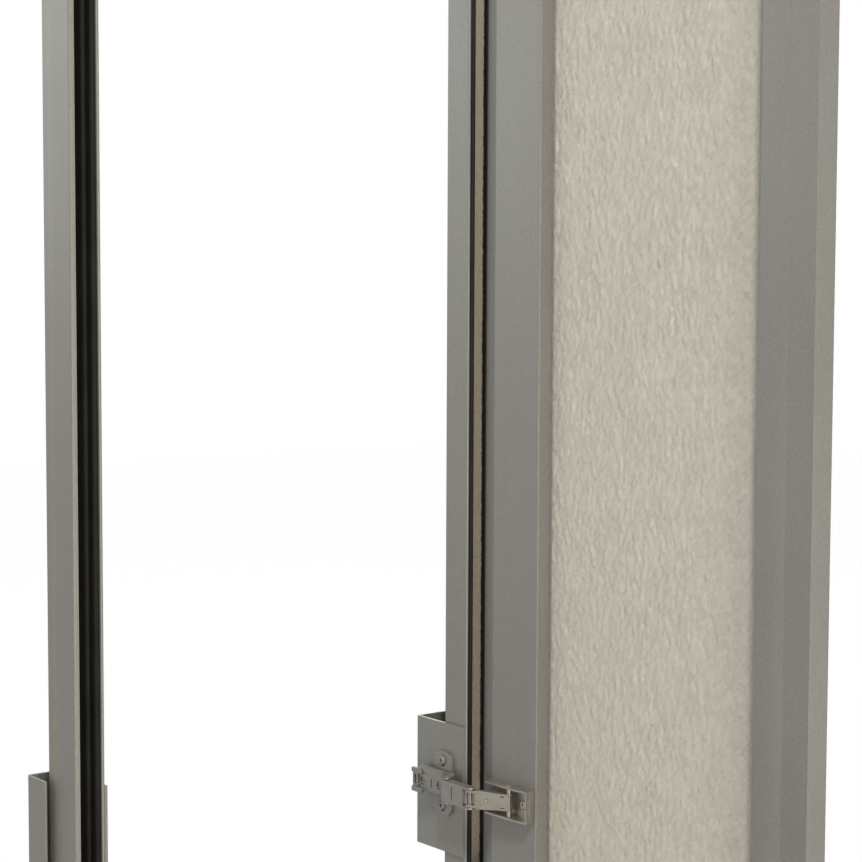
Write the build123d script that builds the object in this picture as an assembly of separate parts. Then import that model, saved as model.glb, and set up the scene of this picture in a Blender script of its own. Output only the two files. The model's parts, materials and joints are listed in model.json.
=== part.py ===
import os

from build123d import *

# Access door: a steel leaf on two wide-angle concealed hinges in a mitred steel frame.
# X runs across the opening, Y into the wall and Z up. The leaf stands open at a right angle.

# Opening and frame section
clear_width = 282.0
clear_height = 982.0
section_width = 20.5
frame_depth = 35.0
sheet = 1.2
web_depth = 24.0
lip_width = 3.7
hem_width = 1.0
hem_depth = 6.0
flange_thickness = 2.4
bend_radius = 1.0

# Rubber seal: a base glued in the channel and a hollow bulb that stands proud of the front
seal_clearance = 1.2
seal_base_width = 6.6
seal_base_front = 6.5
bulb_width = 3.8
bulb_proud = 0.4
bulb_wall = 0.7

# Fixings through the rear flange into the wall
fixing_radius = 2.75
fixing_depth = 29.5
jamb_fixing_heights = (75.0, 948.0)
rail_fixing_offset = 100.0

# Corner plates riveted behind the channel web
corner_plate_thickness = 1.5
corner_leg = 40.0
corner_plate_width = 16.0
rivet_radius = 1.6
rivet_line = 13.5
rivet_steps = (10.0, 30.0)

# U brackets welded to the reveals, behind the frame
bracket_height = 92.0
bracket_heights = (150.0, 873.0)
bracket_web = 2.0
bracket_wall = 1.6
bracket_front = 0.5
bracket_back = 55.0
bracket_span = 25.6
bracket_side_front = 30.6

# Leaf
leaf_width = 302.0
leaf_height = 1002.0
leaf_thickness = 16.7
leaf_sheet = 1.0
leaf_rim_offset = 4.0
leaf_edge_offset = 11.8
chamfer_run = 13.0
chamfer_drop = 4.0
hinge_rim_end = 59.4
free_rim_start = 257.5
rail_rim = 45.0
recess_depth = 10.4

# Hinges: pivots are given from the corner of the reveal and the frame's front
hinge_heights = (153.4, 876.4)
arm_pivot = (-14.5, 3.5)
middle_pivot = (-15.0, -24.0)
cup_pivot_from_edge = 37.2
cup_pivot_proud = 5.0
pin_radius = 1.5
pin_head_radius = 2.4
running_clearance = 0.05
eye_radius = 3.2
cup_eye_radius = 2.6
cheek = 1.5
arm_cheek_inner = 7.9
front_link_inner = 6.1
cup_link_inner = 4.3
cup_flange_inner = 9.8
cup_flange = 1.4

# Arm and mounting plate, from the reveal plane and the frame's front
arm_face = -11.0
arm_side = -5.0
arm_front = 6.0
arm_back = 44.0
arm_web_half = 6.4
ear_back = 13.0
plate_face = -4.0
plate_depth_range = (11.0, 31.0)
plate_half_height = 23.0
plate_corner = 8.0
ridge_half_height = 5.5
ridge_face = -8.5
plate_screw_depth = 21.0
plate_screw_spacing = 32.0
height_adjustment = 0.4

# Cup box on the leaf, from the leaf's hinge edge
cup_start = 14.0
cup_end = 57.5
cup_base = 1.2
cup_height_start = 9.0
cup_height_end = 7.0
cup_screw_places = (19.0, 49.0)

# Catches on the far jamb
catch_heights = (123.0, 900.0)
catch_line = -132.0
catch_face = -125.0
catch_half_height = 15.0
catch_front = 3.0
catch_back = 43.0
plunger_radius = 4.0
plunger_tip = 0.2
plunger_end = 22.0
collar_radius = 5.0
collar_front = 18.0
collar_bore_front = 11.0
cap_front = 38.5
stem_radius = 2.2
stem_length = 6.0
spring_wire = 0.6
spring_coil = 3.6
spring_length = 11.0
spring_pitch = 3.6
striker_from_edge = 283.0
striker_half_width = 9.0
striker_half_height = 17.0
striker_thickness = 1.2

# Derived places
reveal = clear_width / 2
front = -frame_depth / 2
frame_width = clear_width + 2 * section_width
frame_height = clear_height + 2 * section_width
opening_bottom = section_width
opening_top = frame_height - section_width
middle_height = frame_height / 2
leaf_face = reveal + leaf_rim_offset
leaf_edge = front - leaf_edge_offset
leaf_bottom = middle_height - leaf_height / 2
leaf_top = leaf_bottom + leaf_height
arm_outer = arm_cheek_inner + cheek
front_link_outer = front_link_inner + cheek
cup_link_outer = cup_link_inner + cheek
cup_half_height = cup_flange_inner + cup_flange


def plan(s, t):
    # Plan position from the hinge-side reveal plane and the frame's front plane
    return (reveal + s, front + t)


def on_leaf(from_edge, proud):
    # Plan position from the leaf's hinge edge and its rim face
    return (leaf_face - proud, leaf_edge - from_edge)


def outline(points):
    # Flat face inside a closed run of straight lines
    return make_face(Polyline(*points, close=True))


def upright(face, bottom, top):
    # Prism standing on a plan outline
    return Pos(0, 0, bottom) * extrude(face, top - bottom, dir=(0, 0, 1))


def block(first, second):
    # Box between two opposite corners
    size = [abs(b - a) for a, b in zip(first, second)]
    centre = [(a + b) / 2 for a, b in zip(first, second)]
    return Pos(*centre) * Box(*size)


def rounded(face, corners, radius):
    # The face with the corners nearest the given points rounded
    picked = [min(face.vertices(), key=lambda v: abs(v.X - x) + abs(v.Y - y)) for x, y in corners]
    return fillet(picked, radius)


def bar(start, end, start_radius, end_radius):
    # Plan outline of a link with round ends
    rings = Pos(*start) * Circle(start_radius) + Pos(*end) * Circle(end_radius)
    return make_hull(rings.edges())


def rod(radius, start, end):
    # Round rod between two points
    path = Vector(*end) - Vector(*start)
    return extrude(Plane(origin=start, z_dir=path) * Circle(radius), path.length)


def group(solids):
    return Compound(children=list(solids))


def pan_screw(head_place, direction, head_radius, head_height, shank_radius, length):
    # Screw with a low rounded head and a cross recess, driven along the direction
    shank = Pos(0, 0, length / 2) * Cylinder(shank_radius, length)
    head = Pos(0, 0, -head_height / 2) * Cylinder(head_radius, head_height)
    head = chamfer(head.edges().sort_by(Axis.Z)[0], head_height * 0.5)
    slot = Box(head_radius * 1.1, head_radius * 0.22, head_height)
    recess = Pos(0, 0, -head_height) * (slot + Rot(0, 0, 90) * slot)
    return Plane(origin=head_place, z_dir=direction) * (shank + head - recess)


def blind_rivet(head_place, direction, grip):
    # Rivet with a domed head in front, its shank and the upset tail behind
    head = Pos(0, 0, -0.6) * Cylinder(3.2, 1.2)
    head = chamfer(head.edges().sort_by(Axis.Z)[0], 0.7)
    shank = Pos(0, 0, grip / 2) * Cylinder(rivet_radius, grip)
    tail = Pos(0, 0, grip + 0.7) * Cylinder(2.4, 1.4)
    tail = chamfer(tail.edges().sort_by(Axis.Z)[-1], 0.7)
    return Plane(origin=head_place, z_dir=direction) * (head + shank + tail)


# Frame

def frame_profile():
    # Section from the reveal outwards: hemmed reveal wall, channel web and outer wall with a lip
    outer = section_width
    flange = outer - flange_thickness
    points = [
        (outer, 0),
        (outer, frame_depth),
        (flange, frame_depth),
        (flange, web_depth),
        (0, web_depth),
        (0, 0),
        (sheet + hem_width, 0),
        (sheet + hem_width, hem_depth),
        (sheet, hem_depth),
        (sheet, web_depth - sheet),
        (outer - sheet, web_depth - sheet),
        (outer - sheet, sheet),
        (outer - lip_width, sheet),
        (outer - lip_width, 0),
    ]
    bends = [(outer, 0), (outer, frame_depth), (0, web_depth), (0, 0), (sheet + hem_width, 0)]
    return rounded(outline(points), bends, bend_radius)


def seal_profile():
    # Glued base with a narrow groove, and the hollow bulb beside the hem
    inner = sheet + seal_clearance
    base_back = web_depth - sheet
    base = outline([
        (inner, base_back),
        (inner + seal_base_width, base_back),
        (inner + seal_base_width, seal_base_front),
        (inner, seal_base_front),
    ])
    base = rounded(base, [(inner + seal_base_width, seal_base_front)], 2.0)
    bulb_left = inner + 0.2
    bulb_middle = bulb_left + bulb_width / 2
    bulb_centre = bulb_width / 2 - bulb_proud
    bulb = Pos(bulb_middle, bulb_centre) * Circle(bulb_width / 2)
    bulb += outline([
        (bulb_left, bulb_centre),
        (bulb_left + bulb_width, bulb_centre),
        (bulb_left + bulb_width, seal_base_front + 1),
        (bulb_left, seal_base_front + 1),
    ])
    hollow = Pos(bulb_middle, bulb_centre) * Circle(bulb_width / 2 - bulb_wall)
    hollow += outline([
        (bulb_left + bulb_wall, bulb_centre),
        (bulb_left + bulb_width - bulb_wall, bulb_centre),
        (bulb_left + bulb_width - bulb_wall, seal_base_front - 1),
        (bulb_left + bulb_wall, seal_base_front - 1),
    ])
    return base + bulb - hollow


def around_opening(profile):
    # Four lengths of one section round the opening, mitred where they meet
    reach = section_width + 10
    jamb_plane = Plane(origin=(reveal, front, 0), x_dir=(1, 0, 0), z_dir=(0, 0, 1))
    head_plane = Plane(origin=(frame_width / 2, front, opening_top), x_dir=(0, 0, 1), z_dir=(-1, 0, 0))
    jamb_zone = Plane.XZ * outline([
        (reveal, opening_bottom),
        (reveal + reach, opening_bottom - reach),
        (reveal + reach, opening_top + reach),
        (reveal, opening_top),
    ])
    head_zone = Plane.XZ * outline([
        (-reveal, opening_top),
        (reveal, opening_top),
        (reveal + reach, opening_top + reach),
        (-reveal - reach, opening_top + reach),
    ])
    jamb = extrude(jamb_plane * profile, frame_height, dir=(0, 0, 1))
    jamb = jamb & extrude(jamb_zone, frame_depth, both=True)
    head = extrude(head_plane * profile, frame_width, dir=(-1, 0, 0))
    head = head & extrude(head_zone, frame_depth, both=True)
    level = Plane(origin=(0, 0, middle_height), z_dir=(0, 0, 1))
    return {
        "right": jamb,
        "left": mirror(jamb, about=Plane.YZ),
        "top": head,
        "bottom": mirror(head, about=level),
    }


def corner_rivet_places():
    # Two rivets in each leg of the four corner plates
    places = []
    for side in (-1, 1):
        for corner, up in ((opening_bottom, 1), (opening_top, -1)):
            for step in rivet_steps:
                places.append((side * (reveal + rivet_line), corner + up * step))
                places.append((side * (reveal - step), corner - up * rivet_line))
    return places


def corner_plates():
    inner = 1.5
    outer = inner + corner_plate_width
    corner = Plane.XZ * outline([
        (reveal + inner, opening_bottom - inner),
        (reveal + inner, opening_bottom + corner_leg),
        (reveal + outer, opening_bottom + corner_leg),
        (reveal + outer, opening_bottom - outer),
        (reveal - corner_leg, opening_bottom - outer),
        (reveal - corner_leg, opening_bottom - inner),
    ])
    back = front + web_depth
    plate = Pos(0, back, 0) * extrude(corner, corner_plate_thickness, dir=(0, 1, 0))
    level = Plane(origin=(0, 0, middle_height), z_dir=(0, 0, 1))
    pair = [plate, mirror(plate, about=level)]
    return pair + [mirror(piece, about=Plane.YZ) for piece in pair]


def drill_rivet_holes(piece):
    for x, z in corner_rivet_places():
        hole = rod(rivet_radius + 0.05, (x, front + web_depth - 4, z), (x, front + web_depth + 4, z))
        piece = piece - hole
    return piece


def frame_members():
    members = around_opening(frame_profile())
    depth = front + fixing_depth
    inside = reveal + section_width - 6
    outside = reveal + section_width + 6
    for z in jamb_fixing_heights:
        for name, side in (("right", 1), ("left", -1)):
            hole = rod(fixing_radius, (side * inside, depth, z), (side * outside, depth, z))
            members[name] = members[name] - hole
    for x in (-rail_fixing_offset, rail_fixing_offset):
        top_hole = rod(fixing_radius, (x, depth, frame_height - 6), (x, depth, frame_height + 6))
        bottom_hole = rod(fixing_radius, (x, depth, 6), (x, depth, -6))
        members["top"] = members["top"] - top_hole
        members["bottom"] = members["bottom"] - bottom_hole
    return {name: drill_rivet_holes(member) for name, member in members.items()}


def bracket(height):
    # U bracket that reaches behind the wall panel: web, back and a short outer wall
    profile = outline([
        plan(-bracket_web, bracket_front),
        plan(-bracket_web, bracket_back),
        plan(bracket_span, bracket_back),
        plan(bracket_span, bracket_side_front),
        plan(bracket_span - bracket_wall, bracket_side_front),
        plan(bracket_span - bracket_wall, bracket_back - bracket_web),
        plan(0, bracket_back - bracket_web),
        plan(0, bracket_front),
    ])
    profile = rounded(profile, [plan(-bracket_web, bracket_back), plan(bracket_span, bracket_back)], 2.5)
    return upright(profile, height - bracket_height / 2, height + bracket_height / 2)


# Hinges

def plate_screw_places(height):
    x, y = plan(plate_face, plate_screw_depth)
    centre = height + height_adjustment
    return [(x, y, centre - plate_screw_spacing / 2), (x, y, centre + plate_screw_spacing / 2)]


def mounting_plate(height):
    # Pressed cross-shaped plate: two slotted lobes and a hollow ridge that carries the arm
    near, far = plate_depth_range
    wall = 1.3
    face_plane = Plane(origin=(reveal - bracket_web, front, height), x_dir=(0, 1, 0), z_dir=(-1, 0, 0))
    lobes = Pos((near + far) / 2, 0) * RectangleRounded(far - near, 2 * plate_half_height, plate_corner)
    slots = Rot(0, 0, 90) * SlotOverall(8.4, 4.4)
    lobes -= Pos(plate_screw_depth, plate_screw_spacing / 2) * slots
    lobes -= Pos(plate_screw_depth, -plate_screw_spacing / 2) * slots
    plate = extrude(face_plane * lobes, -plate_face - bracket_web)
    ridge_front, ridge_back = near - 1, arm_back
    ridge = block(
        (*plan(-bracket_web, ridge_front), height - ridge_half_height),
        (*plan(ridge_face, ridge_back), height + ridge_half_height),
    )
    ridge = fillet(ridge.edges().filter_by(Axis.Y).group_by(Axis.X)[0], 1.2)
    for x, y, z in adjusting_screw_places(height):
        ridge -= rod(1.85, (x, y, z), (x + 6, y, z))
    hollow = block(
        (*plan(-bracket_web, ridge_front + wall), height - ridge_half_height + wall),
        (*plan(ridge_face + wall, ridge_back - wall), height + ridge_half_height - wall),
    )
    return plate + ridge - hollow


def adjusting_screw_places(height):
    return [(*plan(arm_face + 0.7, 16.0), height), (*plan(arm_face + 0.7, 35.0), height)]


def hinge_arm(height):
    # Channel arm with sloping sides: its outer web, and the ears that hold the first pivot
    inner_half = arm_web_half - 0.8
    section = Plane.XZ * outline([
        (reveal + arm_face, height - arm_web_half),
        (reveal + arm_side, height - arm_outer),
        (reveal + arm_side, height - arm_cheek_inner),
        (reveal + arm_face + cheek, height - inner_half),
        (reveal + arm_face + cheek, height + inner_half),
        (reveal + arm_side, height + arm_cheek_inner),
        (reveal + arm_side, height + arm_outer),
        (reveal + arm_face, height + arm_web_half),
    ])
    arm = Pos(0, front + arm_front, 0) * extrude(section, arm_back - arm_front, dir=(0, 1, 0))
    ear = bar(plan(*arm_pivot), plan(arm_side - 2.2, ear_back), eye_radius, 1.9)
    arm += upright(ear, height - arm_outer, height - arm_cheek_inner)
    arm += upright(ear, height + arm_cheek_inner, height + arm_outer)
    for x, y, z in adjusting_screw_places(height):
        arm -= rod(2.9, (x - 3, y, z), (x + 3, y, z))
    marks = block((*plan(arm_face - 1, 24.6), height - 3), (*plan(arm_face + 3, 25.6), height + 3))
    bore = rod(pin_radius, (*plan(*arm_pivot), height - 12), (*plan(*arm_pivot), height + 12))
    return arm - marks - bore


def adjusting_screws(height):
    # Grub-like screws recessed in the arm's web, seated in the plate's ridge
    screws = []
    for x, y, z in adjusting_screw_places(height):
        body = rod(2.6, (x, y, z), (reveal + ridge_face, y, z))
        tip = rod(1.8, (x, y, z), (reveal + ridge_face + 1.2, y, z))
        slot = block((x - 0.5, y - 2.2, z - 0.35), (x + 0.6, y + 2.2, z + 0.35))
        screws.append(body + tip - slot)
    return screws


def arm_clip(height):
    # Sprung clip at the rear of the arm with two raised finger tabs
    half = 6.0
    lever = block(
        (*plan(arm_face - 1.0, arm_back - 4.5), height - half),
        (*plan(arm_face, arm_back + 1.4), height + half),
    )
    turn = block(
        (*plan(arm_face - 1.0, arm_back + 0.2), height - half),
        (*plan(arm_side + 1.5, arm_back + 1.4), height + half),
    )
    tab = block(
        (*plan(arm_face - 2.2, arm_back - 10.5), height + 5.0),
        (*plan(arm_face, arm_back + 1.4), height + 8.6),
    )
    tab = fillet(tab.edges().filter_by(Axis.X), 1.1)
    level = Plane(origin=(0, 0, height), z_dir=(0, 0, 1))
    notch = block(
        (*plan(arm_face - 1.5, arm_back - 2.5), height - 3.2),
        (*plan(arm_face + 0.5, arm_back - 0.5), height + 3.2),
    )
    return lever + turn + tab + mirror(tab, about=level) - notch


def front_link(height):
    # First link: a folded channel between the arm's pivot and the middle pivot
    start, end = plan(*arm_pivot), plan(*middle_pivot)
    length = (Vector(*end) - Vector(*start)).length
    side = bar(start, end, eye_radius, eye_radius)
    solid = upright(side, height - front_link_outer, height + front_link_outer)
    along = Plane(origin=(*start, height), x_dir=Vector(*end) - Vector(*start), z_dir=(0, 0, 1))
    inner = front_link_inner
    reach = 2 * eye_radius
    channel = block((-reach, cheek - eye_radius, -inner), (length + reach, reach, inner))
    channel += block((length - 4.5, -reach, -inner), (length + reach, reach, inner))
    channel += block((-reach, -reach, -inner), (-1.0, reach, inner))
    window = block((10.0, -reach, -4.6), (11.0, 0, 4.6))
    pivot = rod(pin_radius + running_clearance, (*start, height - 12), (*start, height + 12))
    far_pivot = rod(pin_radius, (*end, height - 12), (*end, height + 12))
    return solid - along * channel - along * window - pivot - far_pivot


def cup_link(height):
    # Second link: a broad plate that narrows to the knuckle in the cup, with cheeks at both pivots
    start, end = plan(*middle_pivot), on_leaf(cup_pivot_from_edge, cup_pivot_proud)
    length = (Vector(*end) - Vector(*start)).length
    side = bar(start, end, 3.0, cup_eye_radius)
    link = upright(side, height - cup_link_outer, height - cup_link_inner)
    link += upright(side, height + cup_link_inner, height + cup_link_outer)
    along = Plane(origin=(*start, height), x_dir=Vector(*end) - Vector(*start), z_dir=(0, 0, 1))
    face = outline([
        (4.5, -cup_link_outer),
        (7.5, -6.6),
        (20.0, -5.8),
        (length + 2.0, -5.4),
        (length + 2.0, 5.4),
        (20.0, 5.8),
        (7.5, 6.6),
        (4.5, cup_link_outer),
    ])
    web_plane = Plane(origin=(0, -1.4, 0), x_dir=(1, 0, 0), z_dir=(0, -1, 0))
    web = extrude(web_plane * face, cheek)
    dimple = Pos(13.5, -3.1, 0) * Sphere(1.2)
    knuckle_slots = block((length - 5.2, -4, 3.6), (length - 2.2, 0, 4.3))
    knuckle_slots += block((length - 5.2, -4, -4.3), (length - 2.2, 0, -3.6))
    link += along * (web - dimple - knuckle_slots)
    for place in (start, end):
        link -= rod(pin_radius + running_clearance, (*place, height - 12), (*place, height + 12))
    return link


def cup_screw_positions(height):
    return [(*on_leaf(place, cup_base), height) for place in cup_screw_places]


def cup_box(height):
    # Low box on the leaf's rim: base, two tapering flanges and an upright end wall
    flange = outline([
        on_leaf(cup_start, 0),
        on_leaf(cup_start, cup_height_start - 2),
        on_leaf(cup_start + 2, cup_height_start),
        on_leaf(cup_pivot_from_edge + 4, cup_height_start - 0.6),
        on_leaf(cup_end, cup_height_end),
        on_leaf(cup_end, 0),
    ])
    box = upright(flange, height - cup_half_height, height - cup_flange_inner)
    box += upright(flange, height + cup_flange_inner, height + cup_half_height)
    box += block(
        (*on_leaf(cup_start, 0), height - cup_half_height),
        (*on_leaf(cup_end, cup_base), height + cup_half_height),
    )
    box += block(
        (*on_leaf(cup_end - cup_base, 0), height - cup_half_height),
        (*on_leaf(cup_end, cup_height_end), height + cup_half_height),
    )
    box -= block(
        (*on_leaf(cup_end - 3, 3.6), height - 6.5),
        (*on_leaf(cup_end + 3, 4.8), height + 6.5),
    )
    x, y = on_leaf(cup_pivot_from_edge, cup_pivot_proud)
    box -= rod(pin_radius, (x, y, height - 15), (x, y, height + 15))
    for x, y, z in cup_screw_positions(height):
        box -= rod(1.75, (x - 3, y, z), (x + 3, y, z))
    return box


def pins(place, half_length, heads=0.0):
    # Pivot pins of both hinges, the cup pins with low heads outside the flanges
    pieces = []
    for height in hinge_heights:
        low, high = height - half_length, height + half_length
        pin = rod(pin_radius, (*place, low), (*place, high))
        if heads:
            pin += rod(pin_head_radius, (*place, low - heads), (*place, low))
            pin += rod(pin_head_radius, (*place, high), (*place, high + heads))
        pieces.append(pin)
    return pieces


def cup_backing(height):
    # Threaded plate under the rim that takes the cup's screws
    plate = block(
        (*on_leaf(cup_start, -leaf_sheet), height - 15),
        (*on_leaf(cup_end, -leaf_sheet - 2), height + 15),
    )
    for x, y, z in cup_screw_positions(height):
        plate -= rod(1.75, (x - 3, y, z), (x + 9, y, z))
    return plate


# Leaf

def sheet_section(points, thickness):
    # Closed section of folded sheet: the path and its copy shifted to the right of travel
    corners = [Vector(*point) for point in points]
    normals = []
    for a, b in zip(corners, corners[1:]):
        step = (b - a).normalized()
        normals.append(Vector(step.Y, -step.X))
    shifted = [corners[0] + normals[0] * thickness]
    for corner, before, after in zip(corners[1:], normals, normals[1:]):
        mitre = (before + after) * (thickness / (1 + before.dot(after)))
        shifted.append(corner + mitre)
    shifted.append(corners[-1] + normals[-1] * thickness)
    path = [(v.X, v.Y) for v in corners] + [(v.X, v.Y) for v in reversed(shifted)]
    return path


def leaf_section(points):
    # Leaf section points as a plan outline
    return outline([on_leaf(from_edge, proud) for from_edge, proud in points])


def hinge_stile_path():
    return [(0, -chamfer_drop), (chamfer_run, 0), (hinge_rim_end, 0), (hinge_rim_end, -recess_depth)]


def free_stile_path():
    return [(free_rim_start, -recess_depth), (free_rim_start, 0), (leaf_width, 0)]


def leaf_skin():
    # Folded tray: the plain outer face and four edge walls that stop under the rim sheets
    slope_start = sheet_section(hinge_stile_path(), leaf_sheet)[-1]
    tray = leaf_section([
        (0, -leaf_thickness),
        (leaf_width, -leaf_thickness),
        (leaf_width, -leaf_sheet),
        (chamfer_run + 0.15, -leaf_sheet),
        (slope_start[0], slope_start[1]),
        (0, slope_start[1]),
    ])
    tray = rounded(tray, [on_leaf(0, -leaf_thickness), on_leaf(leaf_width, -leaf_thickness)], bend_radius)
    tray = upright(tray, leaf_bottom, leaf_top)
    inner = leaf_section([
        (leaf_sheet, leaf_sheet - leaf_thickness),
        (leaf_width - leaf_sheet, leaf_sheet - leaf_thickness),
        (leaf_width - leaf_sheet, 1),
        (leaf_sheet, 1),
    ])
    return tray - upright(inner, leaf_bottom + leaf_sheet, leaf_top - leaf_sheet)


def stile(path, bends):
    # Full-height rim piece, its recess wall notched at both ends for the tray's walls
    section = leaf_section(sheet_section(path, leaf_sheet))
    section = rounded(section, [on_leaf(*bend) for bend in bends], 0.8)
    piece = upright(section, leaf_bottom, leaf_top)
    low = on_leaf(0, -leaf_sheet)
    deep = on_leaf(leaf_width, -leaf_thickness)
    for edge, inside in ((leaf_bottom, leaf_bottom + leaf_sheet), (leaf_top, leaf_top - leaf_sheet)):
        recess_wall = block((low[0], leaf_edge - hinge_rim_end + 2, edge), (deep[0], deep[1], inside))
        piece -= recess_wall
    return piece


def drill_screws(piece, places, radius):
    for x, y, z in places:
        piece -= rod(radius, (x - 4, y, z), (x + 6, y, z))
    return piece


def rim_rail(height, inward):
    # Rim piece between the stiles: flat rim and the wall down to the recess
    section = sheet_section([(0, 0), (rail_rim, 0), (rail_rim, -recess_depth)], leaf_sheet)
    section = rounded(outline(section), [(rail_rim, 0)], 0.8)
    plane = Plane(
        origin=(leaf_face, leaf_edge - hinge_rim_end, height),
        x_dir=(0, 0, inward),
        z_dir=(0, -inward, 0),
    )
    length = free_rim_start - hinge_rim_end
    return extrude(plane * section, length, dir=(0, -1, 0))


def infill_panel():
    # Insulating board that lies in the tray, its edges under the rims
    gap = 0.6
    x_face, y_start = on_leaf(leaf_sheet + gap, -recess_depth)
    x_back, y_end = on_leaf(leaf_width - leaf_sheet - gap, leaf_sheet - leaf_thickness)
    return block(
        (x_face, y_start, leaf_bottom + leaf_sheet + gap),
        (x_back, y_end, leaf_top - leaf_sheet - gap),
    )


def striker_screw_positions(height):
    return [(*on_leaf(striker_from_edge, striker_thickness), height + z) for z in (-11.0, 11.0)]


def striker(height):
    # Flat keeper plate that meets the catch, with rounded corners and two screws
    plane = Plane(
        origin=(*on_leaf(striker_from_edge, 0), height),
        x_dir=(0, 1, 0),
        z_dir=(-1, 0, 0),
    )
    face = plane * RectangleRounded(2 * striker_half_width, 2 * striker_half_height, 3)
    plate = extrude(face, striker_thickness)
    return drill_screws(plate, striker_screw_positions(height), 1.55)


def flush_screws(places, length):
    # Countersunk screws whose heads lie level with the plate
    screws = []
    for x, y, z in places:
        shank = rod(1.5, (x, y, z), (x + length, y, z))
        slot = block((x - 0.1, y - 1.2, z - 0.25), (x + 0.5, y + 1.2, z + 0.25))
        screws.append(shank - slot)
    return screws


# Catches

def catch_screw_places(height):
    depth = front + 34.0
    return [(catch_face - 1.4, depth, height - 10.5), (catch_face - 1.4, depth, height + 10.5)]


def catch_body(height):
    # Moulded housing with a stepped bore for the plunger
    back_face = -reveal + bracket_web
    body = block(
        (back_face, front + catch_front, height - catch_half_height),
        (catch_face, front + catch_back, height + catch_half_height),
    )
    body = fillet(body.edges().filter_by(Axis.Y).group_by(Axis.X)[-1], 3)
    mouth = (catch_line, front, height)
    step = (catch_line, front + collar_bore_front, height)
    rear = (catch_line, front + catch_back + 1, height)
    body -= rod(plunger_radius + running_clearance, mouth, step)
    body -= rod(collar_radius + running_clearance, step, rear)
    for x, y, z in catch_screw_places(height):
        body -= rod(3.6, (x, y, z), (x + 6, y, z))
        body -= rod(1.8, (x + 1, y, z), (x - 30, y, z))
    return body


def catch_cap(height):
    inner = (catch_line, front + cap_front, height)
    return rod(collar_radius, inner, (catch_line, front + catch_back, height))


def plunger(height):
    # Spring-loaded plunger: round nose, collar and a short stem inside the spring
    tip = (catch_line, front + plunger_tip, height)
    shoulder = (catch_line, front + collar_front, height)
    seat = (catch_line, front + plunger_end, height)
    stem_end = (catch_line, front + plunger_end + stem_length, height)
    nose = rod(plunger_radius, tip, shoulder)
    nose = fillet(nose.edges().sort_by(Axis.Y)[0], 1.2)
    return nose + rod(collar_radius, shoulder, seat) + rod(stem_radius, seat, stem_end)


def catch_spring(height):
    # Coil spring behind the collar
    path = Helix(spring_pitch, spring_length, spring_coil)
    wire = Plane(origin=path @ 0, z_dir=path % 0) * Rectangle(spring_wire, spring_wire)
    coil = sweep(wire, path)
    start = (catch_line, front + plunger_end + spring_wire / 2, height)
    return Plane(origin=start, z_dir=(0, 1, 0)) * coil


# Writing out the nodes

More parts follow.
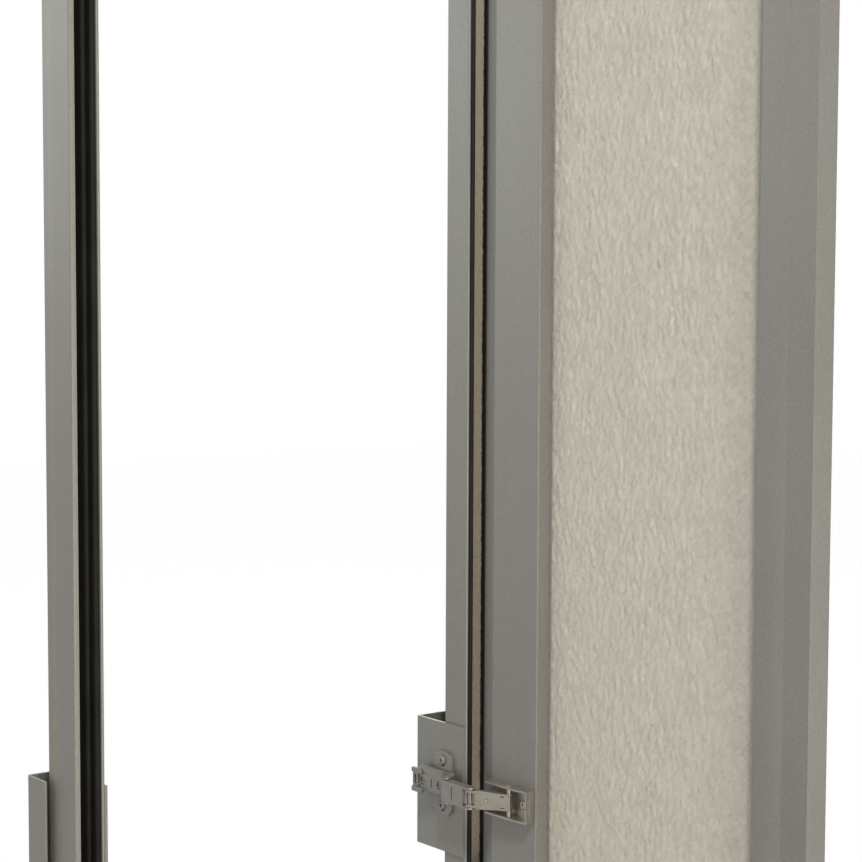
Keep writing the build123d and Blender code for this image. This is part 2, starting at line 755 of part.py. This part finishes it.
def build():
    nodes = {}
    members = frame_members()
    seals = around_opening(seal_profile())
    nodes["jamb_right"] = members["right"]
    nodes["jamb_left"] = members["left"]
    nodes["rail_top"] = members["top"]
    nodes["rail_bottom"] = members["bottom"]
    for side in ("right", "left", "top", "bottom"):
        nodes["seal_" + side] = seals[side]
    nodes["corner_plates"] = group(drill_rivet_holes(plate) for plate in corner_plates())
    rivet_face = front + web_depth - sheet
    grip = sheet + corner_plate_thickness
    places = corner_rivet_places()
    nodes["corner_rivets"] = group(blind_rivet((x, rivet_face, z), (0, 1, 0), grip) for x, z in places)

    for name, hinge_height, bracket_place in zip(("lower", "upper"), hinge_heights, bracket_heights):
        right = bracket(bracket_place)
        left = mirror(right, about=Plane.YZ)
        screw_places = plate_screw_places(hinge_height)
        for x, y, z in screw_places:
            right -= rod(1.95, (x, y, z), (x + 8, y, z))
        nodes["bracket_right_" + name] = right
        nodes["mounting_plate_" + name] = mounting_plate(hinge_height)
        nodes["hinge_arm_" + name] = hinge_arm(hinge_height)
        nodes["arm_clip_" + name] = arm_clip(hinge_height)
        nodes["front_link_" + name] = front_link(hinge_height)
        nodes["cup_link_" + name] = cup_link(hinge_height)
        nodes["cup_box_" + name] = cup_box(hinge_height)
        nodes["bracket_left_" + name] = left
    plate_screws = [
        pan_screw(place, (1, 0, 0), 3.4, 1.8, 1.9, 3.9)
        for height in hinge_heights
        for place in plate_screw_places(height)
    ]
    nodes["plate_screws"] = group(plate_screws)
    nodes["adjusting_screws"] = group(screw for height in hinge_heights for screw in adjusting_screws(height))
    nodes["arm_pins"] = group(pins(plan(*arm_pivot), arm_outer))
    nodes["middle_pins"] = group(pins(plan(*middle_pivot), front_link_outer))
    cup_pivot = on_leaf(cup_pivot_from_edge, cup_pivot_proud)
    nodes["cup_pins"] = group(pins(cup_pivot, cup_half_height, heads=0.6))

    cup_places = [place for height in hinge_heights for place in cup_screw_positions(height)]
    striker_places = [place for height in catch_heights for place in striker_screw_positions(height)]
    nodes["leaf_skin"] = leaf_skin()
    hinge_bends = [(0, -chamfer_drop), (chamfer_run, 0), (hinge_rim_end, 0)]
    nodes["hinge_stile"] = drill_screws(stile(hinge_stile_path(), hinge_bends[1:]), cup_places, 1.75)
    free_stile = stile(free_stile_path(), [(free_rim_start, 0)])
    nodes["free_stile"] = drill_screws(free_stile, striker_places, 1.55)
    nodes["leaf_top_rail"] = rim_rail(leaf_top, -1)
    nodes["leaf_bottom_rail"] = rim_rail(leaf_bottom, 1)
    nodes["infill_panel"] = infill_panel()
    nodes["cup_backing_plates"] = group(cup_backing(height) for height in hinge_heights)
    nodes["cup_screws"] = group(pan_screw(place, (1, 0, 0), 3.2, 1.6, 1.7, 4.0) for place in cup_places)
    nodes["strikers"] = group(striker(height) for height in catch_heights)
    nodes["striker_screws"] = group(flush_screws(striker_places, 4.5))

    for name, height in zip(("lower", "upper"), catch_heights):
        nodes["catch_body_" + name] = catch_body(height)
        nodes["catch_plunger_" + name] = plunger(height)
        nodes["catch_spring_" + name] = catch_spring(height)
        for x, y, z in catch_screw_places(height):
            side = "bracket_left_" + name
            nodes[side] = nodes[side] - rod(1.8, (x, y, z), (x - 30, y, z))
    nodes["catch_caps"] = group(catch_cap(height) for height in catch_heights)
    catch_screws = [
        pan_screw(place, (-1, 0, 0), 3.3, 1.3, 1.75, 14.0)
        for height in catch_heights
        for place in catch_screw_places(height)
    ]
    nodes["catch_screws"] = group(catch_screws)
    return nodes


os.makedirs("parts", exist_ok=True)
for node_name, shape in build().items():
    export_step(shape, "parts/" + node_name + ".step")
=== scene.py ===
import bpy
import json
import math
from mathutils import Euler, Matrix, Vector


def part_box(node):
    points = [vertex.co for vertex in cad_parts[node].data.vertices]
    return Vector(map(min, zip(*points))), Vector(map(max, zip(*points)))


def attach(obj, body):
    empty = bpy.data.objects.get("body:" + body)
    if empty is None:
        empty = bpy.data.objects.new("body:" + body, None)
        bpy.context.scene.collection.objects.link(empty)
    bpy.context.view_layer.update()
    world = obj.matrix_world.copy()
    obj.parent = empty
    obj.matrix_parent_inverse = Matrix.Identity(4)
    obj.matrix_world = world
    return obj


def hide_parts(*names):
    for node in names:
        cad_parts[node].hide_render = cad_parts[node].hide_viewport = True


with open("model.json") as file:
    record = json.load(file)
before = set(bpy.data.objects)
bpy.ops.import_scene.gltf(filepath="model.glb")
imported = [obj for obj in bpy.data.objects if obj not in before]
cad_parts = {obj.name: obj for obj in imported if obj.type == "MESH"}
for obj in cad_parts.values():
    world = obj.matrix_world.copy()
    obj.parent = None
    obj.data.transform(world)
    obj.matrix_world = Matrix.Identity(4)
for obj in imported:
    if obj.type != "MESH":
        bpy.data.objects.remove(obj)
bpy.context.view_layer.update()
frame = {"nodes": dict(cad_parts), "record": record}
nodes = frame["nodes"]
print("frame loaded:", len(nodes), "nodes")


# Small helpers

def deselectAll():
    if bpy.context.object and bpy.context.object.mode != "OBJECT":
        bpy.ops.object.mode_set(mode="OBJECT")
    bpy.ops.object.select_all(action="DESELECT")


def activate(piece):
    deselectAll()
    piece.select_set(True)
    bpy.context.view_layer.objects.active = piece


def editAll(piece):
    activate(piece)
    bpy.ops.object.mode_set(mode="EDIT")
    bpy.ops.mesh.select_all(action="SELECT")


def applyModifier(piece, modifier):
    activate(piece)
    bpy.ops.object.modifier_apply(modifier=modifier.name)


def paint(piece, material):
    if not piece.material_slots:
        piece.data.materials.append(material)
    for slot in piece.material_slots:
        slot.material = material


# Helpers for materials: each adds its nodes to the tree and gives back the last output

def feed(tree, value, socket):
    # A socket takes another node's output, a colour or a number
    if isinstance(value, bpy.types.NodeSocket):
        tree.links.new(value, socket)
    elif isinstance(value, tuple):
        socket.default_value = (*value, 1.0)
    else:
        socket.default_value = value


def compute(tree, operation, *values, clamp=False):
    node = tree.nodes.new("ShaderNodeMath")
    node.operation = operation
    node.use_clamp = clamp
    for value, socket in zip(values, node.inputs):
        feed(tree, value, socket)
    return node.outputs[0]


def multiply(tree, first, second):
    return compute(tree, "MULTIPLY", first, second, clamp=True)


def spread(tree, value, low, high, start=0.0, end=1.0):
    # Turns the range from start to end into the range from low to high
    node = tree.nodes.new("ShaderNodeMapRange")
    tree.links.new(value, node.inputs["Value"])
    node.inputs["From Min"].default_value = start
    node.inputs["From Max"].default_value = end
    node.inputs["To Min"].default_value = low
    node.inputs["To Max"].default_value = high
    return node.outputs["Result"]


def band(tree, value, middle, reach, fade):
    # One within reach of the middle, falling to nothing over the fade
    distance = compute(tree, "ABSOLUTE", compute(tree, "SUBTRACT", value, middle))
    return spread(tree, distance, 1.0, 0.0, reach, reach + fade)


def objectPlace(tree, stretch=(1, 1, 1), turn=(0, 0, 0)):
    # Two steps, because the pattern is turned first and then stretched
    place = tree.nodes.new("ShaderNodeTexCoord")
    turned = tree.nodes.new("ShaderNodeMapping")
    turned.inputs["Rotation"].default_value = turn
    tree.links.new(place.outputs["Object"], turned.inputs["Vector"])
    stretched = tree.nodes.new("ShaderNodeMapping")
    stretched.inputs["Scale"].default_value = stretch
    tree.links.new(turned.outputs["Vector"], stretched.inputs["Vector"])
    return stretched.outputs["Vector"]


def noise(tree, place, scale, detail, rough=0.55):
    node = tree.nodes.new("ShaderNodeTexNoise")
    node.inputs["Scale"].default_value = scale
    node.inputs["Detail"].default_value = detail
    node.inputs["Roughness"].default_value = rough
    tree.links.new(place, node.inputs["Vector"])
    return node.outputs["Fac"]


def ramp(tree, factor, stops, colours):
    node = tree.nodes.new("ShaderNodeValToRGB")
    tree.links.new(factor, node.inputs["Fac"])
    elements = node.color_ramp.elements
    while len(elements) < len(stops):
        elements.new(0.5)
    for element, where, colour in zip(elements, stops, colours):
        element.position = where
        element.color = (*colour, 1.0)
    return node.outputs["Color"]


def blendColours(tree, first, second, share):
    node = tree.nodes.new("ShaderNodeMix")
    node.data_type = "RGBA"
    feed(tree, share, node.inputs[0])
    feed(tree, first, node.inputs[6])
    feed(tree, second, node.inputs[7])
    return node.outputs[2]


def tinted(colour, tint):
    return tuple(tint * c for c in colour)


def layered(tree, look, first, *layers, tint=1.0):
    # The look's three tones by the first noise, and again by each layer's noise as far as its share
    colours = [tinted(look[tone], tint) for tone in ("dark", "middle", "light")]
    base = ramp(tree, first, look["stops"], colours)
    for factor, share in layers:
        base = blendColours(tree, base, ramp(tree, factor, look["stops"], colours), share)
    return base


def startMaterial(name, colour, metallic=0.0):
    material = bpy.data.materials.new(name)
    material.use_nodes = True
    shader = material.node_tree.nodes["Principled BSDF"]
    shader.inputs["Base Color"].default_value = (*colour, 1.0)
    shader.inputs["Metallic"].default_value = metallic
    return material, material.node_tree, shader


def finishSurface(tree, shader, look, base, worn, height):
    # Worn drives the roughness and height drives the bump
    tree.links.new(base, shader.inputs["Base Color"])
    tree.links.new(spread(tree, worn, *look["roughness"]), shader.inputs["Roughness"])
    bump = tree.nodes.new("ShaderNodeBump")
    bump.inputs["Strength"].default_value = look["bumpStrength"]
    bump.inputs["Distance"].default_value = look["bumpDepth"]
    tree.links.new(height, bump.inputs["Height"])
    tree.links.new(bump.outputs["Normal"], shader.inputs["Normal"])


# Materials: a noise is given as its scale and detail, and as its roughness where that differs

sheetLook = {
    "light": (0.206, 0.199, 0.176),
    "middle": (0.180, 0.174, 0.153),
    "dark": (0.154, 0.148, 0.131),
    "stops": (0.3, 0.5, 0.7),
    "roughness": (0.42, 0.60),
    "metallic": 0.35,
    "cloudNoise": (7.0, 4.0),
    "rollNoise": (900.0, 2.0),
    "rollStretch": (1.0, 1.0, 0.03),
    "rollShare": 0.25,
    "speckNoise": (650.0, 2.0),
    "speckShare": 0.6,
    "bumpStrength": 0.35,
    "bumpDepth": 0.00005,
}


def sheetSteel(name, look):
    material, tree, shader = startMaterial(name, look["middle"], look["metallic"])
    place = objectPlace(tree)
    rolled = objectPlace(tree, look["rollStretch"])
    clouds = noise(tree, place, *look["cloudNoise"])
    streaks = noise(tree, rolled, *look["rollNoise"])
    specks = noise(tree, place, *look["speckNoise"])
    base = layered(tree, look, clouds, (streaks, look["rollShare"]), (specks, look["speckShare"]))
    finishSurface(tree, shader, look, base, clouds, specks)
    return material


# Painted light and a streak: a bright tan strip inside the outer wall of each jamb is painted light,
# standing in for the key light falling on that wall, and a faint tan streak runs outside it
paintedLightAndStreakLook = {
    "strip": (0.66, 0.565, 0.43),
    "streak": (0.235, 0.205, 0.150),
    "patchTint": 0.8,
    "patchStops": (0.35, 0.65),
    "patchNoise": (420.0, 4.0, 0.7),
    "mottling": (0.75, 1.5),
    "wallInside": 0.1603,
    "wallOutside": 0.1615,
    "wallReach": 0.0003,
    "channelMiddle": -0.0050,
    "channelReach": 0.0110,
    "streakDepth": 0.008,
    "streakReach": 0.0016,
    "streakStrength": 0.75,
    "fade": 0.0012,
    "shade": (0.022, 0.019, 0.015),
    "shadeDepth": -0.0098,
    "shadeReach": 0.0016,
    "shadeNoise": (260.0, 4.0, 0.7),
}


def jambSteelWithPaintedLight(name, look, paintedLightAndStreak):
    material = sheetSteel(name, look)
    tree = material.node_tree
    shader = tree.nodes["Principled BSDF"]
    steelColour = shader.inputs["Base Color"].links[0].from_socket
    place = objectPlace(tree)
    axes = tree.nodes.new("ShaderNodeSeparateXYZ")
    tree.links.new(place, axes.inputs[0])
    sideways = compute(tree, "ABSOLUTE", axes.outputs["X"])
    depth = axes.outputs["Y"]
    fade = paintedLightAndStreak["fade"]

    # Where the painted light lies: inside the wall within the channel; where the streak lies: in a line
    # outside it
    reach = paintedLightAndStreak["wallReach"]
    channel = band(tree, depth, paintedLightAndStreak["channelMiddle"], paintedLightAndStreak["channelReach"], reach)
    inside = multiply(tree, band(tree, sideways, paintedLightAndStreak["wallInside"], reach, reach), channel)
    line = band(tree, depth, paintedLightAndStreak["streakDepth"], paintedLightAndStreak["streakReach"], fade)
    outside = multiply(tree, band(tree, sideways, paintedLightAndStreak["wallOutside"], reach, reach), line)
    outside = multiply(tree, outside, paintedLightAndStreak["streakStrength"])

    patches = noise(tree, place, *paintedLightAndStreak["patchNoise"])
    mottled = spread(tree, patches, *paintedLightAndStreak["mottling"])
    strip, streak = (
        ramp(tree, patches, paintedLightAndStreak["patchStops"], (tinted(colour, paintedLightAndStreak["patchTint"]), colour))
        for colour in (paintedLightAndStreak["strip"], paintedLightAndStreak["streak"])
    )

    # Towards the lip the strip is painted black, a painted shadow of the leaf's edge, with a ragged edge
    ragged = spread(tree, noise(tree, place, *paintedLightAndStreak["shadeNoise"]), -1.0, 1.0)
    ragged = compute(tree, "MULTIPLY_ADD", ragged, paintedLightAndStreak["shadeReach"], depth)
    lit = spread(tree, ragged, 0.0, 1.0, paintedLightAndStreak["shadeDepth"], paintedLightAndStreak["shadeDepth"] + fade)
    strip = blendColours(tree, paintedLightAndStreak["shade"], strip, lit)

    # The painted lit strip goes on the steel inside the wall, and the streak outside it, both mottled
    base = blendColours(tree, steelColour, strip, multiply(tree, inside, mottled))
    base = blendColours(tree, base, streak, multiply(tree, outside, mottled))
    tree.links.new(base, shader.inputs["Base Color"])
    # The painted lit strip is not metallic, so its painted colour shows as it is
    tree.links.new(spread(tree, inside, look["metallic"], 0.0), shader.inputs["Metallic"])
    return material


rubberLook = {
    "light": (0.010, 0.0095, 0.008),
    "dark": (0.0045, 0.0042, 0.0036),
    "stops": (0.35, 0.75),
    "roughness": (0.6, 0.8),
    "specular": 0.18,
    "bloomNoise": (35.0, 4.0),
    "drawnNoise": (900.0, 2.0),
    "drawnStretch": (1.0, 1.0, 0.03),
    "bumpStrength": 0.5,
    "bumpDepth": 0.00008,
}


def sealRubber(name, look):
    material, tree, shader = startMaterial(name, look["dark"])
    bloom = noise(tree, objectPlace(tree), *look["bloomNoise"])
    drawn = noise(tree, objectPlace(tree, look["drawnStretch"]), *look["drawnNoise"])
    base = ramp(tree, bloom, look["stops"], (look["dark"], look["light"]))
    finishSurface(tree, shader, look, base, drawn, drawn)
    shader.inputs["Specular IOR Level"].default_value = look["specular"]
    return material


facingLook = {
    "light": (0.520, 0.482, 0.410),
    "middle": (0.450, 0.417, 0.352),
    "dark": (0.370, 0.342, 0.286),
    "stops": (0.32, 0.5, 0.68),
    "roughness": (0.75, 0.95),
    "sheen": 0.15,
    "stretch": (1.0, 1.0, 0.5),
    "lean": math.radians(42),
    "patchNoise": (60.0, 3.0),
    "creaseNoise": (330.0, 3.0),
    "creaseShare": 0.6,
    "threadNoise": (1300.0, 2.0),
    "threadShare": 0.3,
    "bumpStrength": 0.75,
    "bumpDepth": 0.0011,
}


def boardFacing(name, look):
    material, tree, shader = startMaterial(name, look["middle"])
    leaning = objectPlace(tree, look["stretch"], (-look["lean"], 0, 0))
    patches = noise(tree, objectPlace(tree), *look["patchNoise"])
    creases = noise(tree, leaning, *look["creaseNoise"])
    threads = noise(tree, leaning, *look["threadNoise"])
    base = layered(tree, look, patches, (creases, look["creaseShare"]), (threads, look["threadShare"]))
    finishSurface(tree, shader, look, base, creases, creases)
    shader.inputs["Sheen Weight"].default_value = look["sheen"]
    return material


platingLook = {
    "stops": (0.3, 0.5, 0.7),
    "stainNoise": (60.0, 4.0),
    "grainNoise": (2600.0, 2.0),
    "grainShare": 0.4,
    "brushed": (1.0, 0.08, 1.0),
    "bumpStrength": 0.25,
    "bumpDepth": 0.00002,
}
hingeLook = {
    **platingLook,
    "light": (0.34, 0.312, 0.265),
    "middle": (0.275, 0.252, 0.213),
    "dark": (0.21, 0.192, 0.162),
    "roughness": (0.28, 0.44),
    "metallic": 0.8,
    "brightTint": 1.25,
}
dullLook = {
    **platingLook,
    "light": (0.220, 0.212, 0.190),
    "middle": (0.185, 0.178, 0.159),
    "dark": (0.150, 0.144, 0.129),
    "roughness": (0.34, 0.50),
    "metallic": 0.55,
}


def platedSteel(name, look, tint=1.0):
    material, tree, shader = startMaterial(name, look["middle"], look["metallic"])
    stains = noise(tree, objectPlace(tree), *look["stainNoise"])
    grain = noise(tree, objectPlace(tree, look["brushed"]), *look["grainNoise"])
    base = layered(tree, look, stains, (grain, look["grainShare"]), tint=tint)
    finishSurface(tree, shader, look, base, grain, grain)
    return material


plasticLook = {
    "grey": (0.30, 0.30, 0.285),
    "pale": (0.62, 0.61, 0.58),
    "darkTint": 0.9,
    "stops": (0.35, 0.65),
    "roughness": (0.42, 0.6),
    "toneNoise": (40.0, 3.0),
    "grainNoise": (2400.0, 2.0),
    "bumpStrength": 0.4,
    "bumpDepth": 0.00004,
}


def mouldedPlastic(name, look, shade):
    colour = look[shade]
    material, tree, shader = startMaterial(name, colour)
    place = objectPlace(tree)
    tone = noise(tree, place, *look["toneNoise"])
    grain = noise(tree, place, *look["grainNoise"])
    base = ramp(tree, tone, look["stops"], (tinted(colour, look["darkTint"]), colour))
    finishSurface(tree, shader, look, base, grain, grain)
    return material


steel = sheetSteel("sheetSteel", sheetLook)
jambSteelAndPaintedLight = jambSteelWithPaintedLight("jambSteelWithPaintedLight", sheetLook, paintedLightAndStreakLook)
rubber = sealRubber("sealRubber", rubberLook)
facing = boardFacing("boardFacing", facingLook)
plated = platedSteel("platedSteel", hingeLook)
bright = platedSteel("brightZinc", hingeLook, hingeLook["brightTint"])
dull = platedSteel("dullZinc", dullLook)
greyPlastic = mouldedPlastic("greyPlastic", plasticLook, "grey")
palePlastic = mouldedPlastic("palePlastic", plasticLook, "pale")
print("materials ready")


# The nodes take the finish of their slot, but the jambs, steel with a painted lit strip, and the frame's
# side of the hinges have their own

slotMaterials = {
    "zinc_steel": steel,
    "seal_rubber": rubber,
    "board": facing,
    "hinge_nickel": plated,
    "fastener_steel": bright,
    "catch_plastic": greyPlastic,
    "plunger_plastic": palePlastic,
    "spring_steel": bright,
}
dullKinds = (
    "hinge_arm", "mounting_plate", "arm_clip", "front_link",
    "plate_screws", "adjusting_screws", "middle_pins",
)
nodeSlots = {part["node"]: part["material_slot"] for part in frame["record"]["subparts"]}
nodeBodies = {
    node: body
    for body, members in frame["record"]["behaviour"]["bodies"].items()
    for node in members
}
for name, node in nodes.items():
    if name.startswith("jamb_"):
        paint(node, jambSteelAndPaintedLight)
    elif name.startswith(dullKinds):
        paint(node, dull)
    else:
        paint(node, slotMaterials[nodeSlots[name]])
print("nodes painted")


# Sheet parts and hinge parts get their pressed, slightly rounded edges

edgeForm = {
    "sheetWidth": 0.00028,
    "hingeWidth": 0.00018,
    "segments": 2,
    "sharpFrom": math.radians(28),
    "smoothBelow": math.radians(35),
    "flatBelow": math.radians(1.5),
    "mergeWithin": 0.000002,
}


def softened(nodeName, width):
    source = nodes[nodeName]
    piece = source.copy()
    piece.data = source.data.copy()
    piece.name = nodeName + "Finished"
    piece.parent = None
    bpy.context.scene.collection.objects.link(piece)
    editAll(piece)
    bpy.ops.mesh.remove_doubles(threshold=edgeForm["mergeWithin"])
    bpy.ops.mesh.dissolve_limited(angle_limit=edgeForm["flatBelow"])
    bpy.ops.object.mode_set(mode="OBJECT")
    # The copy is a piece of its own, so the node's marks come off it
    for key in list(piece.keys()):
        if key.startswith("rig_"):
            del piece[key]
    # Smooth before the bevel, which keeps the flat faces' own normals
    bpy.ops.object.shade_smooth_by_angle(angle=edgeForm["smoothBelow"])
    rounding = piece.modifiers.new("rounding", "BEVEL")
    rounding.width = width
    rounding.segments = edgeForm["segments"]
    rounding.limit_method = "ANGLE"
    rounding.angle_limit = edgeForm["sharpFrom"]
    rounding.use_clamp_overlap = True
    rounding.harden_normals = True
    applyModifier(piece, rounding)
    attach(piece, nodeBodies[nodeName])
    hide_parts(nodeName)


sheetParts = [
    "bracket_right_lower", "bracket_right_upper", "bracket_left_lower", "bracket_left_upper",
    "jamb_right", "jamb_left", "rail_top", "rail_bottom",
    "leaf_skin", "hinge_stile", "free_stile", "leaf_top_rail", "leaf_bottom_rail",
]
hingeParts = [
    kind + "_" + level
    for kind in ("hinge_arm", "mounting_plate", "arm_clip", "front_link", "cup_link", "cup_box")
    for level in ("lower", "upper")
]
for name in sheetParts:
    softened(name, edgeForm["sheetWidth"])
for name in hingeParts:
    softened(name, edgeForm["hingeWidth"])
print("edges softened on", len(sheetParts) + len(hingeParts), "parts")


# The insulating board: its crinkled facing lies in the recess, under the rims

boardForm = {
    "columns": 230,
    "rows": 420,
    "creases": {
        "crease": {"height": 0.0016, "size": (0.0026, 0.0026, 0.00338), "lean": math.radians(45)},
        "cross": {"height": 0.0010, "size": (0.0022, 0.0022, 0.00286), "lean": math.radians(-50)},
        "swell": {"height": 0.0003, "size": (0.030, 0.030, 0.030), "lean": 0.0},
    },
    "edgeDrop": 0.0013,
    "edgeReach": 0.0024,
    "backGap": 0.001,
    "smoothBelow": math.radians(50),
}


def creased(piece, name, form, group):
    # The empty gives the pattern its size and lean, and goes once the creases are in the mesh
    texture = bpy.data.textures.new(name, "CLOUDS")
    texture.noise_scale = 1.0
    texture.noise_depth = 2
    holder = bpy.data.objects.new(name + "Holder", None)
    bpy.context.scene.collection.objects.link(holder)
    holder.rotation_euler = (form["lean"], 0, 0)
    holder.scale = form["size"]
    bpy.context.view_layer.update()
    modifier = piece.modifiers.new("creases", "DISPLACE")
    modifier.texture = texture
    modifier.texture_coords = "OBJECT"
    modifier.texture_coords_object = holder
    modifier.direction = "X"
    modifier.strength = form["height"]
    modifier.mid_level = 0.5
    modifier.vertex_group = group
    applyModifier(piece, modifier)
    bpy.data.objects.remove(holder)


def tuckEdges(board):
    # Near the rims the facing dips under them and lies flat
    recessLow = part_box("hinge_stile")[0][1]
    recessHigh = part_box("free_stile")[1][1]
    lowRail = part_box("leaf_bottom_rail")[1][2]
    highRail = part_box("leaf_top_rail")[0][2]
    shown = board.vertex_groups.new(name="shown")
    for vertex in board.data.vertices:
        _, y, z = vertex.co
        inside = min(y - recessHigh, recessLow - y, z - lowRail, highRail - z)
        weight = max(0.0, min(1.0, inside / boardForm["edgeReach"]))
        shown.add([vertex.index], weight, "REPLACE")
        if inside < boardForm["edgeReach"]:
            vertex.co.x += boardForm["edgeDrop"] * (1.0 - weight)


def makeBoard():
    low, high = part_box("infill_panel")
    thick, wide, tall = (high[i] - low[i] for i in range(3))
    deselectAll()
    bpy.ops.mesh.primitive_grid_add(
        x_subdivisions=boardForm["rows"],
        y_subdivisions=boardForm["columns"],
        size=1.0,
        location=(low[0], (low[1] + high[1]) / 2, (low[2] + high[2]) / 2),
        rotation=(0, math.radians(-90), 0),
    )
    board = bpy.context.object
    board.name = "infillBoard"
    board.scale = (tall, wide, 1.0)
    activate(board)
    bpy.ops.object.transform_apply(location=True, rotation=True, scale=True)
    tuckEdges(board)
    for name, form in boardForm["creases"].items():
        creased(board, name, form, "shown")
    # The facing's outer loop is drawn back and closed, which gives the board its sides and back
    editAll(board)
    bpy.ops.mesh.select_mode(type="EDGE")
    bpy.ops.mesh.region_to_loop()
    bpy.ops.mesh.extrude_edges_move(TRANSFORM_OT_translate={"value": (thick - boardForm["backGap"], 0, 0)})
    bpy.ops.mesh.fill()
    bpy.ops.mesh.select_all(action="SELECT")
    bpy.ops.mesh.normals_make_consistent(inside=False)
    bpy.ops.object.mode_set(mode="OBJECT")
    bpy.ops.object.shade_smooth_by_angle(angle=boardForm["smoothBelow"])
    paint(board, facing)
    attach(board, "leaf")
    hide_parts("infill_panel")
    return board


board = makeBoard()
print("board made:", len(board.data.polygons), "faces")


# Stage, light and camera

stageSet = {
    "floorSize": 8.0,
    "floorColour": (0.86, 0.86, 0.86),
    "floorRoughness": 0.9,
    "floorShade": 0.01,
    "ambient": 0.13,
    "white": (1.0, 1.0, 1.0),
}

# Key from the upper left front, low warm fill, cool strip behind the opening, and a fill for the back
lampSet = {
    "keyLamp": {
        "place": (-0.75, -1.42, 2.2), "target": (0.14, -0.1, 0.5), "size": 0.35,
        "watts": 56.0, "colour": (0.99, 0.985, 0.97),
    },
    "lowLamp": {
        "place": (-0.19, -1.72, 0.05), "target": (0.14, -0.1, 0.5), "size": 0.5,
        "watts": 24.0, "colour": (1.0, 0.95, 0.87),
    },
    "stripLamp": {
        "place": (-0.95, 1.33, 1.0), "target": (0.14, -0.1, 0.5), "size": 0.9,
        "watts": 8.0, "colour": (0.92, 0.97, 1.0),
    },
    "backLamp": {
        "place": (1.5, 1.3, 1.4), "target": (0.1, 0.0, 0.5), "size": 1.2,
        "watts": 30.0, "colour": (1.0, 0.99, 0.97),
    },
}

cameraSet = {
    "place": (-0.74375, -1.1418, 0.507),
    "pitchDown": 4.15,
    "yaw": 37.2,
    "roll": 0.21,
    "lens": 86.87,
    "sensor": 36.0,
    "nearest": 0.01,
}


def mixShaders(tree, share, first, second):
    node = tree.nodes.new("ShaderNodeMixShader")
    feed(tree, share, node.inputs[0])
    tree.links.new(first.outputs[0], node.inputs[1])
    tree.links.new(second.outputs[0], node.inputs[2])
    return node


def seenDirectly(tree):
    # One for the camera, reflections and what is seen through glass, nothing for all other light
    path = tree.nodes.new("ShaderNodeLightPath")
    seen = compute(tree, "ADD", path.outputs["Is Camera Ray"], path.outputs["Is Glossy Ray"], clamp=True)
    return compute(tree, "ADD", seen, path.outputs["Is Transmission Ray"], clamp=True)


def makeWorld():
    world = bpy.data.worlds.new("studio")
    bpy.context.scene.world = world
    world.use_nodes = True
    tree = world.node_tree
    soft = tree.nodes["Background"]
    white = tree.nodes.new("ShaderNodeBackground")
    for background, strength in ((soft, stageSet["ambient"]), (white, 1.0)):
        background.inputs["Color"].default_value = (*stageSet["white"], 1.0)
        background.inputs["Strength"].default_value = strength
    mix = mixShaders(tree, seenDirectly(tree), soft, white)
    tree.links.new(mix.outputs[0], tree.nodes["World Output"].inputs["Surface"])


def makeFloor():
    deselectAll()
    bpy.ops.mesh.primitive_plane_add(size=stageSet["floorSize"], location=(0, 0, 0))
    floor = bpy.context.object
    floor.name = "floor"
    material, tree, shader = startMaterial("paleFloor", stageSet["floorColour"])
    shader.inputs["Roughness"].default_value = stageSet["floorRoughness"]
    white = tree.nodes.new("ShaderNodeEmission")
    white.inputs["Strength"].default_value = 1.0
    seen = mixShaders(tree, 1.0 - stageSet["floorShade"], shader, white)
    mix = mixShaders(tree, seenDirectly(tree), shader, seen)
    tree.links.new(mix.outputs[0], tree.nodes["Material Output"].inputs["Surface"])
    paint(floor, material)


def makeLamp(name, form):
    lamp = bpy.data.lights.new(name, "AREA")
    lamp.shape = "DISK"
    lamp.size = form["size"]
    lamp.energy = form["watts"]
    lamp.color = form["colour"]
    holder = bpy.data.objects.new(name, lamp)
    bpy.context.scene.collection.objects.link(holder)
    holder.location = form["place"]
    aim = Vector(form["target"]) - Vector(form["place"])
    holder.rotation_euler = aim.to_track_quat("-Z", "Y").to_euler()


def makeCamera():
    lens = bpy.data.cameras.new("camera")
    lens.lens = cameraSet["lens"]
    lens.sensor_width = cameraSet["sensor"]
    lens.clip_start = cameraSet["nearest"]
    camera = bpy.data.objects.new("camera", lens)
    bpy.context.scene.collection.objects.link(camera)
    camera.location = cameraSet["place"]
    aim = Euler((math.radians(90 - cameraSet["pitchDown"]), 0, math.radians(-cameraSet["yaw"])))
    aim = aim.to_matrix() @ Matrix.Rotation(math.radians(cameraSet["roll"]), 3, "Z")
    camera.rotation_euler = aim.to_euler()
    bpy.context.scene.camera = camera


bpy.context.scene.view_settings.view_transform = "Standard"
makeWorld()
makeFloor()
for lampName, form in lampSet.items():
    makeLamp(lampName, form)
makeCamera()
print("stage ready")
